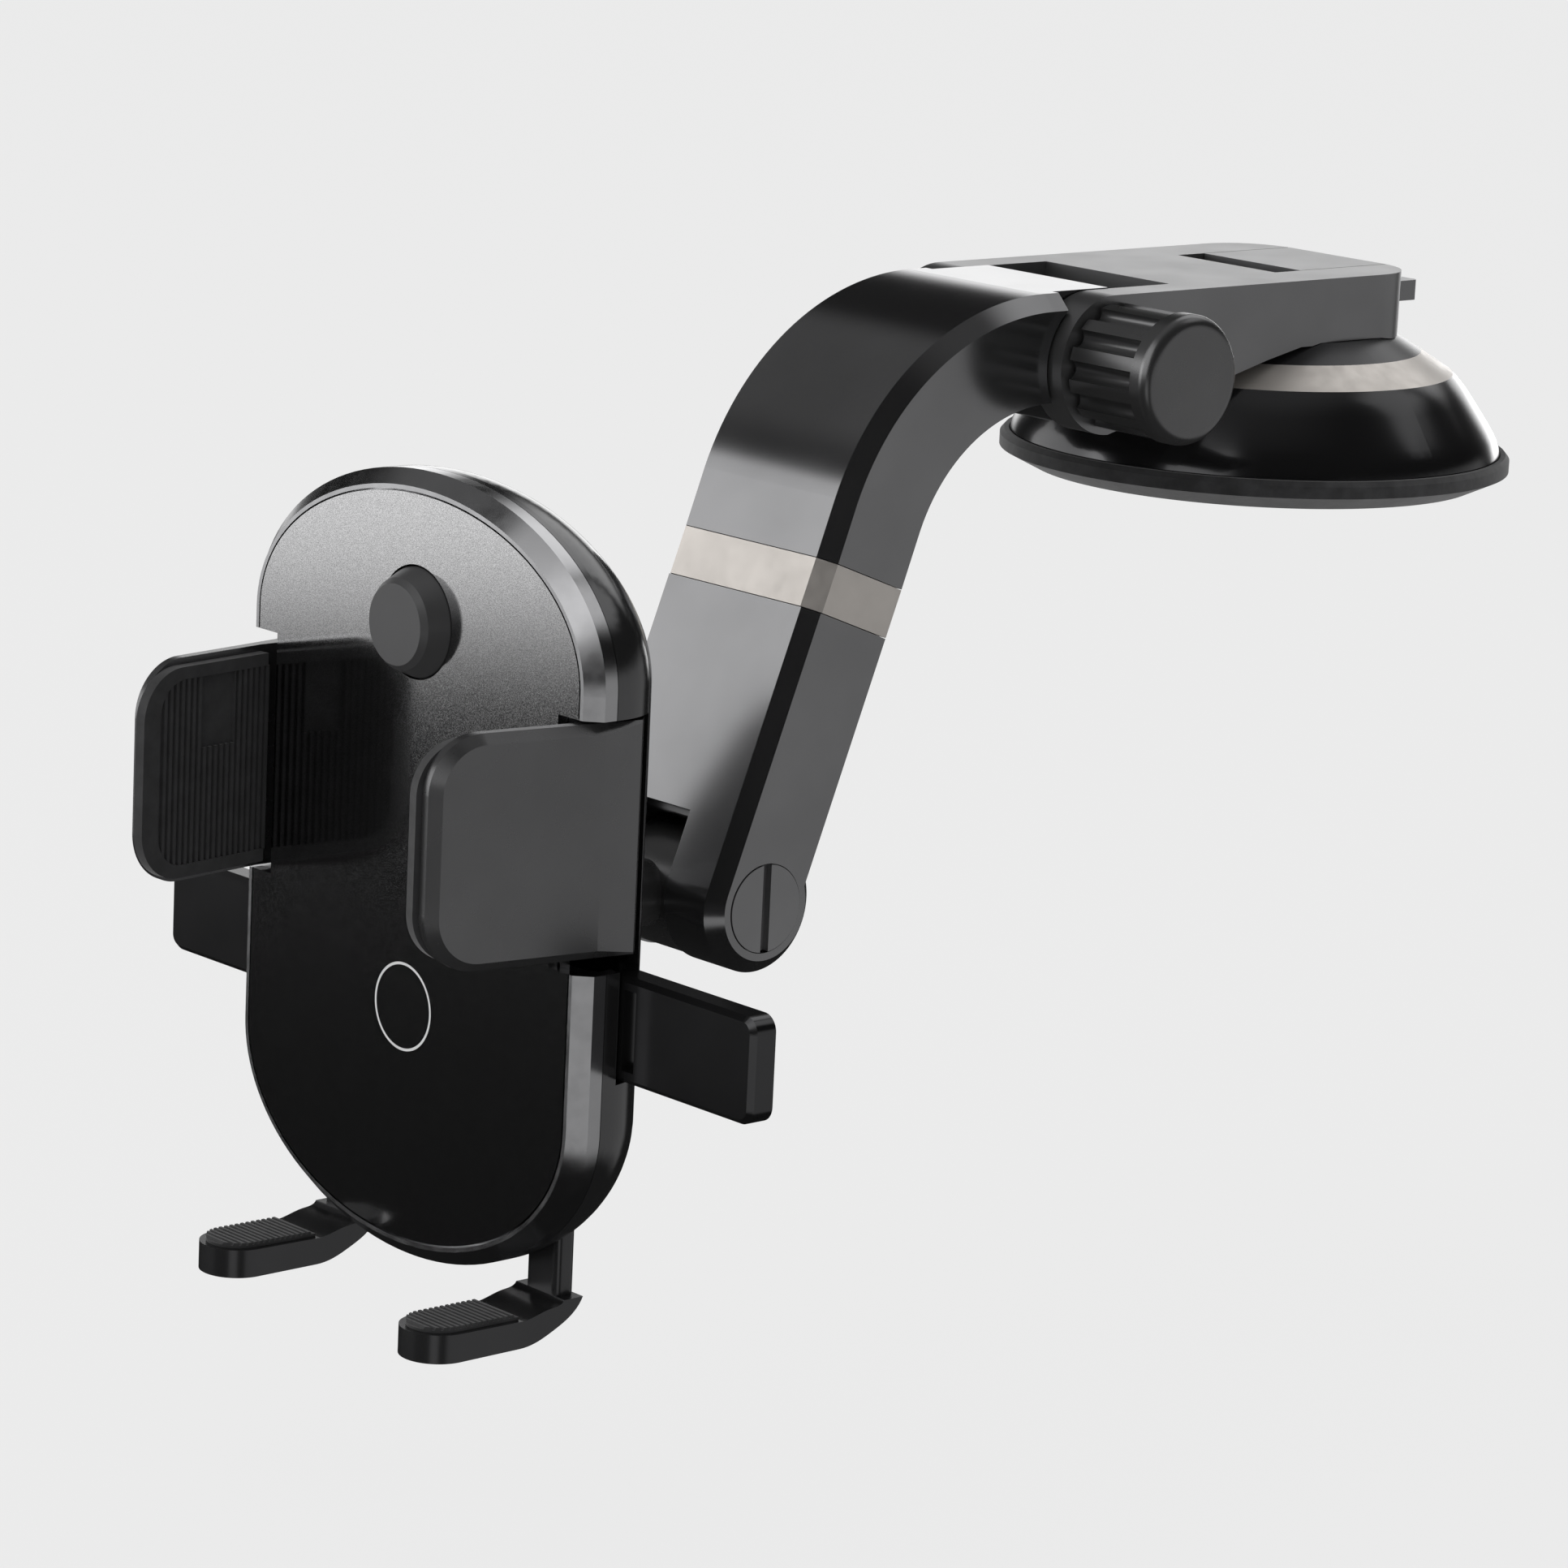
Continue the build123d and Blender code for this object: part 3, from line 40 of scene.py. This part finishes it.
WHITE = (1.0, 1.0, 1.0, 1.0)

# ---------------------------------------------------------------- camera, in metres and radians
# The azimuth turns from the driver's side (-Y) towards the knob side (+X).
CAMERA_AZIMUTH = math.radians(47.82)
CAMERA_ELEVATION = math.radians(12.51)
CAMERA_ROLL = math.radians(2.76)
CAMERA_DISTANCE = 0.85895
AIM_LEFT = 0.0691
AIM_DOWN = 0.0464
CLIP_START = 0.05
CLIP_END = 200.0
# Lens and sensor width are in millimetres, as Blender has them.
CAMERA_LENS = 133.6
CAMERA_SENSOR = 36.0

# ---------------------------------------------------------------- stage
FLOOR_DROP = 0.030
FLOOR_HALF = 60.0
FLOOR_GREY = 0.04
FLOOR_ROUGHNESS = 0.9
FLOOR_GLOW = 0.80
BACKDROP_GREY = 0.83
FILL_GREY = 0.62
ROOM_GLOW = 0.012
# The glow straight overhead: the heights (Z of the unit direction) it grows between.
ZENITH_START = 0.80
ZENITH_FULL = 0.98
ZENITH_GLOW = 0.20
LIGHT_TARGET = Vector((0.0, -0.075, -0.03))

# ---------------------------------------------------------------- surface texture
# Scales are in features per metre.
COAT_ROUGHNESS = 0.08
NOISE_LOW, NOISE_HIGH = 0.3, 0.7
COLOUR_DARK_AT, COLOUR_LIGHT_AT = 0.35, 0.65
MOTTLE_SCALE = 60.0
HAZE_SCALE = 140.0
GRAIN_STRENGTH = 8.0
GRAIN_HEIGHT = 0.02 * MM
DUST_SCALE = 350.0
BLOOM_SCALE = 900.0
PORE_SCALE = 3200.0
PORE_STRENGTH = 0.35
PORE_HEIGHT = 0.03 * MM
FLAKE_SCALE = 6000.0
FLAKE_HEIGHT = 0.01 * MM
PLATING_SCALE = 90.0
SMEAR_SCALE = 420.0
SPARKLE_SCALE = 9000.0
SPARKLE_STRENGTH = 0.07
SPARKLE_HEIGHT = 0.003 * MM
POLISH_SCALE = 7000.0
POLISH_LOW, POLISH_HIGH = 0.07, 0.12


# ---------------------------------------------------------------- materials
def new_material(name, colour, roughness, metallic=0.0, specular=0.5, coat=0.0):
    """Principled material with its even values set on the shader's own sockets."""
    material = bpy.data.materials.new(name)
    material.use_nodes = True
    shader = material.node_tree.nodes["Principled BSDF"]
    shader.inputs["Base Color"].default_value = (*colour, 1.0)
    shader.inputs["Roughness"].default_value = roughness
    shader.inputs["Metallic"].default_value = metallic
    shader.inputs["Specular IOR Level"].default_value = specular
    shader.inputs["Coat Weight"].default_value = coat
    shader.inputs["Coat Roughness"].default_value = COAT_ROUGHNESS
    return material


def noise(material, scale, detail=3.0, stretch=(1.0, 1.0, 1.0)):
    """Noise in the object's own coordinates."""
    tree = material.node_tree
    coordinates = tree.nodes.new("ShaderNodeTexCoord")
    mapping = tree.nodes.new("ShaderNodeMapping")
    mapping.inputs["Scale"].default_value = stretch
    texture = tree.nodes.new("ShaderNodeTexNoise")
    texture.inputs["Scale"].default_value = scale
    texture.inputs["Detail"].default_value = detail
    tree.links.new(coordinates.outputs["Object"], mapping.inputs["Vector"])
    tree.links.new(mapping.outputs["Vector"], texture.inputs["Vector"])
    return texture.outputs["Fac"]


def vary_colour(material, value, dark, light):
    """Mixes the base colour between two colours by a 0..1 value."""
    tree = material.node_tree
    ramp = tree.nodes.new("ShaderNodeValToRGB")
    ramp.color_ramp.elements[0].position = COLOUR_DARK_AT
    ramp.color_ramp.elements[0].color = (*dark, 1.0)
    ramp.color_ramp.elements[1].position = COLOUR_LIGHT_AT
    ramp.color_ramp.elements[1].color = (*light, 1.0)
    tree.links.new(value, ramp.inputs["Fac"])
    tree.links.new(ramp.outputs["Color"], tree.nodes["Principled BSDF"].inputs["Base Color"])


def vary_roughness(material, value, low, high):
    """Varies the roughness between two values, with the middle of the noise stretched."""
    tree = material.node_tree
    spread = tree.nodes.new("ShaderNodeMapRange")
    spread.inputs["From Min"].default_value = NOISE_LOW
    spread.inputs["From Max"].default_value = NOISE_HIGH
    spread.inputs["To Min"].default_value = low
    spread.inputs["To Max"].default_value = high
    tree.links.new(value, spread.inputs["Value"])
    tree.links.new(spread.outputs["Result"], tree.nodes["Principled BSDF"].inputs["Roughness"])


def add_bump(material, value, strength, distance):
    """Bumps the surface by a 0..1 value, to a height in metres."""
    tree = material.node_tree
    bump = tree.nodes.new("ShaderNodeBump")
    bump.inputs["Strength"].default_value = strength
    bump.inputs["Distance"].default_value = distance
    tree.links.new(value, bump.inputs["Height"])
    tree.links.new(bump.outputs["Normal"], tree.nodes["Principled BSDF"].inputs["Normal"])


def grey(level, blue=0.0):
    """Neutral colour, with a little more blue where asked."""
    return (level, level, level + blue)


def scaled(colour, factor):
    return tuple(channel * factor for channel in colour)


def plastic(name, colour, roughness, grain=2200.0, depth=0.02, coat=0.0, metallic=0.0):
    """Moulded plastic: fine spark-eroded grain, faint flow mottling and handling haze.

    The metallic share is a stand-in for gloss, not a claim that the piece is metal.
    """
    material = new_material(name, colour, roughness, metallic, coat=coat)
    fine = noise(material, grain, detail=4.0)
    mottle = noise(material, MOTTLE_SCALE)
    haze = noise(material, HAZE_SCALE, detail=5.0)
    vary_colour(material, mottle, scaled(colour, 0.95), scaled(colour, 1.05))
    vary_roughness(material, haze, roughness * 0.96, roughness * 1.05)
    add_bump(material, fine, depth * GRAIN_STRENGTH, GRAIN_HEIGHT)
    return material


def rubber(name, colour, roughness=0.82, bloom=0.5):
    """Matt rubber with a dusty bloom and a fine pore texture."""
    material = new_material(name, colour, roughness, specular=0.3)
    shader = material.node_tree.nodes["Principled BSDF"]
    shader.inputs["Sheen Weight"].default_value = 0.25
    shader.inputs["Sheen Roughness"].default_value = 0.5
    dust = noise(material, DUST_SCALE, detail=6.0)
    vary_colour(material, dust, scaled(colour, 0.8), scaled(colour, 1.0 + bloom))
    vary_roughness(material, noise(material, BLOOM_SCALE),
                   roughness * 0.9, min(1.0, roughness * 1.12))
    add_bump(material, noise(material, PORE_SCALE, detail=5.0), PORE_STRENGTH, PORE_HEIGHT)
    return material


def metal(name, colour, roughness, stretch=(1.0, 1.0, 1.0), strength=0.08, metallic=1.0):
    """Plated or painted metal with a fine flake or brushing."""
    material = new_material(name, colour, roughness, metallic=metallic)
    fine = noise(material, FLAKE_SCALE, detail=2.0, stretch=stretch)
    plating = noise(material, PLATING_SCALE)
    smears = noise(material, SMEAR_SCALE, detail=4.0)
    vary_colour(material, plating, scaled(colour, 0.94), scaled(colour, 1.05))
    vary_roughness(material, smears, roughness * 0.85, roughness * 1.2)
    add_bump(material, fine, strength, FLAKE_HEIGHT)
    return material


def panel_finish(name):
    """Dark mirror-like coating over a very fine sparkling grain."""
    colour = grey(0.46, blue=0.005)
    material = new_material(name, colour, 0.2, metallic=1.0)
    sparkle = noise(material, SPARKLE_SCALE, detail=0.0)
    polish = noise(material, POLISH_SCALE, detail=0.0)
    vary_colour(material, sparkle, scaled(colour, 0.72), scaled(colour, 1.28))
    vary_roughness(material, polish, POLISH_LOW, POLISH_HIGH)
    add_bump(material, sparkle, SPARKLE_STRENGTH, SPARKLE_HEIGHT)
    return material


MATERIALS = {
    "pad_rubber": rubber("pad_rubber", grey(0.020, blue=0.001)),
    "dome_gloss": plastic("dome_gloss", grey(0.055, blue=0.002), 0.2,
                          grain=900.0, depth=0.001, metallic=0.9, coat=0.4),
    "champagne_trim": metal("champagne_trim", (0.60, 0.565, 0.53), 0.33, metallic=0.8),
    "cap_black": plastic("cap_black", grey(0.05, blue=0.002), 0.26,
                         depth=0.004, metallic=0.85),
    "bracket_satin": plastic("bracket_satin", grey(0.25, blue=0.005), 0.30,
                             grain=3600.0, depth=0.006, metallic=0.9),
    "arm_dark": plastic("arm_dark", grey(0.27, blue=0.005), 0.16,
                        grain=3000.0, depth=0.0015, metallic=0.97),
    "knob_black": plastic("knob_black", grey(0.16, blue=0.002), 0.28,
                          grain=3000.0, depth=0.004, metallic=0.9),
    "disc_dark": plastic("disc_dark", grey(0.26, blue=0.005), 0.34,
                         grain=3000.0, depth=0.008, metallic=0.85),
    "shell_black": plastic("shell_black", grey(0.10, blue=0.002), 0.16,
                           grain=1000.0, depth=0.001, metallic=0.9, coat=0.3),
    "rim_gunmetal": metal("rim_gunmetal", grey(0.48, blue=0.01), 0.2, strength=0.02),
    "panel_dark": panel_finish("panel_dark"),
    "emblem_grey": plastic("emblem_grey", grey(0.72), 0.4),
    "clamp_dark": plastic("clamp_dark", grey(0.165, blue=0.003), 0.27,
                          grain=3400.0, depth=0.005, metallic=0.9),
    "grip_rubber": rubber("grip_rubber", grey(0.016, blue=0.001), 0.6, bloom=0.3),
    "bar_dark": plastic("bar_dark", grey(0.07, blue=0.002), 0.18,
                        grain=3000.0, depth=0.003, metallic=0.93),
    "button_dark": plastic("button_dark", grey(0.10, blue=0.002), 0.4,
                           grain=5200.0, depth=0.05, metallic=0.6),
    "feet_black": plastic("feet_black", grey(0.07, blue=0.002), 0.24,
                          grain=3000.0, depth=0.004, metallic=0.85),
    "foot_rubber": rubber("foot_rubber", grey(0.022, blue=0.001), 0.65, bloom=0.3),
    "inner_plastic": plastic("inner_plastic", grey(0.05, blue=0.005), 0.5),
    "gear_white": plastic("gear_white", grey(0.62, blue=-0.04), 0.42),
    "steel": metal("steel", grey(0.56, blue=0.01), 0.28, stretch=(1.0, 14.0, 14.0)),
    "spring_steel": metal("spring_steel", grey(0.5, blue=0.02), 0.24),
}

SLOT_OF = {entry["node"]: entry["material_slot"] for entry in frame["record"]["subparts"]}
for name, node in NODES.items():
    node.data.materials.clear()
    node.data.materials.append(MATERIALS[SLOT_OF[name]])

# ---------------------------------------------------------------- floor
floor_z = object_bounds()[0][2] - FLOOR_DROP
floor_mesh = bpy.data.meshes.new("floor")
floor_corners = [(-FLOOR_HALF, -FLOOR_HALF, floor_z), (FLOOR_HALF, -FLOOR_HALF, floor_z),
                 (FLOOR_HALF, FLOOR_HALF, floor_z), (-FLOOR_HALF, FLOOR_HALF, floor_z)]
floor_mesh.from_pydata(floor_corners, [], [(0, 1, 2, 3)])
floor = bpy.data.objects.new("floor", floor_mesh)
bpy.context.scene.collection.objects.link(floor)
floor_paint = new_material("floor_paint", grey(FLOOR_GREY), FLOOR_ROUGHNESS, specular=0.0)
floor_shader = floor_paint.node_tree.nodes["Principled BSDF"]
floor_shader.inputs["Emission Color"].default_value = WHITE
floor_shader.inputs["Emission Strength"].default_value = FLOOR_GLOW
floor_mesh.materials.append(floor_paint)
floor.visible_glossy = False

# ---------------------------------------------------------------- studio light
# The world shows the camera a flat grey, diffuse rays an even fill, and reflected rays
# a dark room with soft cards.
world = bpy.data.worlds.new("studio")
bpy.context.scene.world = world
world.use_nodes = True
world_tree = world.node_tree
world_tree.nodes.clear()
DIRECTION = world_tree.nodes.new("ShaderNodeTexCoord").outputs["Generated"]
split = world_tree.nodes.new("ShaderNodeSeparateXYZ")
world_tree.links.new(DIRECTION, split.inputs["Vector"])
HEIGHT = split.outputs["Z"]
flattened = world_tree.nodes.new("ShaderNodeVectorMath")
flattened.operation = "MULTIPLY"
flattened.inputs[1].default_value = (1.0, 1.0, 0.0)
world_tree.links.new(DIRECTION, flattened.inputs[0])
level = world_tree.nodes.new("ShaderNodeVectorMath")
level.operation = "NORMALIZE"
world_tree.links.new(flattened.outputs["Vector"], level.inputs[0])
LEVEL_DIRECTION = level.outputs["Vector"]


def ramp_between(value, start, end, rising=True):
    """Smooth step of a world value between two levels."""
    node = world_tree.nodes.new("ShaderNodeMapRange")
    node.interpolation_type = "SMOOTHSTEP"
    node.inputs["From Min"].default_value = start
    node.inputs["From Max"].default_value = end
    node.inputs["To Min"].default_value = 0.0 if rising else 1.0
    node.inputs["To Max"].default_value = 1.0 if rising else 0.0
    world_tree.links.new(value, node.inputs["Value"])
    return node.outputs["Result"]


def math_node(operation, first, second):
    """Joins two values, each a number or a socket."""
    node = world_tree.nodes.new("ShaderNodeMath")
    node.operation = operation
    for socket, value in zip(node.inputs, (first, second)):
        if isinstance(value, float):
            socket.default_value = value
        else:
            world_tree.links.new(value, socket)
    return node.outputs["Value"]


def card(heading, spread, low, high, soft, strength):
    """Soft-edged light card around a compass heading, between two elevations."""
    turn = math.radians(heading)
    facing = world_tree.nodes.new("ShaderNodeVectorMath")
    facing.operation = "DOT_PRODUCT"
    facing.inputs[1].default_value = (math.sin(turn), math.cos(turn), 0.0)
    world_tree.links.new(LEVEL_DIRECTION, facing.inputs[0])
    across = ramp_between(facing.outputs["Value"],
                          math.cos(math.radians(spread + soft)),
                          math.cos(math.radians(max(spread - soft, 0.0))))
    above = ramp_between(HEIGHT, math.sin(math.radians(low - soft)),
                         math.sin(math.radians(low + soft)))
    below = ramp_between(HEIGHT, math.sin(math.radians(high - soft)),
                         math.sin(math.radians(high + soft)), rising=False)
    shape = math_node("MULTIPLY", math_node("MULTIPLY", across, above), below)
    return math_node("MULTIPLY", shape, strength)


# Heading, half width, lowest and highest elevation and softness in degrees, then strength.
# Headings are clockwise from +Y: 0 is behind the mount, 90 the knob side, 180 the driver.
CARDS = [
    (230.0, 34.0, -11.0, 23.0, 1.0, 1.30),
    (318.0, 26.0, -4.0, 14.0, 5.0, 1.55),
    (340.0, 20.0, 24.0, 66.0, 6.0, 1.20),
    (50.0, 48.0, -32.0, 6.0, 6.0, 0.36),
    (24.0, 16.0, 34.0, 58.0, 5.0, 0.80),
    (184.0, 36.0, 4.0, 56.0, 5.0, 1.20),
    (135.0, 12.0, -30.0, -4.0, 4.0, 0.50),
    (262.0, 26.0, 30.0, 60.0, 6.0, 0.13),
    (335.0, 12.0, -6.0, 4.0, 4.0, 2.20),
]
zenith = math_node("MULTIPLY", ramp_between(HEIGHT, ZENITH_START, ZENITH_FULL), ZENITH_GLOW)
light_sum = math_node("ADD", zenith, ROOM_GLOW)
for settings in CARDS:
    light_sum = math_node("ADD", light_sum, card(*settings))


def background(colour):
    node = world_tree.nodes.new("ShaderNodeBackground")
    node.inputs["Color"].default_value = colour
    return node


def choose(factor, otherwise, chosen):
    """Mixes two world shaders by one kind of ray."""
    node = world_tree.nodes.new("ShaderNodeMixShader")
    world_tree.links.new(factor, node.inputs["Fac"])
    world_tree.links.new(otherwise, node.inputs[1])
    world_tree.links.new(chosen, node.inputs[2])
    return node.outputs["Shader"]


ray = world_tree.nodes.new("ShaderNodeLightPath")
reflected = background(WHITE)
world_tree.links.new(light_sum, reflected.inputs["Strength"])
fill = background((*grey(FILL_GREY), 1.0))
seen = background((*grey(BACKDROP_GREY), 1.0))
lit = choose(ray.outputs["Is Diffuse Ray"],
             reflected.outputs["Background"], fill.outputs["Background"])
shown = choose(ray.outputs["Is Camera Ray"], lit, seen.outputs["Background"])
world_output = world_tree.nodes.new("ShaderNodeOutputWorld")
world_tree.links.new(shown, world_output.inputs["Surface"])


def softbox(name, toward, distance, width, height, power):
    """Rectangular soft light at a distance in a direction, aimed at the object's middle."""
    data = bpy.data.lights.new(name, "AREA")
    data.shape = "RECTANGLE"
    data.size = width
    data.size_y = height
    data.energy = power
    light = bpy.data.objects.new(name, data)
    bpy.context.scene.collection.objects.link(light)
    direction = Vector(toward).normalized()
    light.location = LIGHT_TARGET + direction * distance
    light.rotation_euler = direction.to_track_quat("Z", "Y").to_euler()
    light.visible_camera = False
    light.visible_glossy = False


softbox("overhead", toward=(-0.2, -0.3, 1.0), distance=1.2, width=1.0, height=1.0, power=4.0)

# ---------------------------------------------------------------- camera
right = Vector((math.cos(CAMERA_AZIMUTH), math.sin(CAMERA_AZIMUTH), 0.0))
back = Vector((math.sin(CAMERA_AZIMUTH) * math.cos(CAMERA_ELEVATION),
               -math.cos(CAMERA_AZIMUTH) * math.cos(CAMERA_ELEVATION),
               math.sin(CAMERA_ELEVATION)))
up = back.cross(right)
image_right = math.cos(CAMERA_ROLL) * right + math.sin(CAMERA_ROLL) * up
image_up = -math.sin(CAMERA_ROLL) * right + math.cos(CAMERA_ROLL) * up
camera_data = bpy.data.cameras.new("camera")
camera_data.lens = CAMERA_LENS
camera_data.sensor_width = CAMERA_SENSOR
camera_data.clip_start = CLIP_START
camera_data.clip_end = CLIP_END
camera = bpy.data.objects.new("camera", camera_data)
bpy.context.scene.collection.objects.link(camera)
camera.matrix_world = Matrix((image_right, image_up, back)).transposed().to_4x4()
camera.location = back * CAMERA_DISTANCE - image_right * AIM_LEFT - image_up * AIM_DOWN
bpy.context.scene.camera = camera
bpy.context.scene.view_settings.view_transform = "Standard"
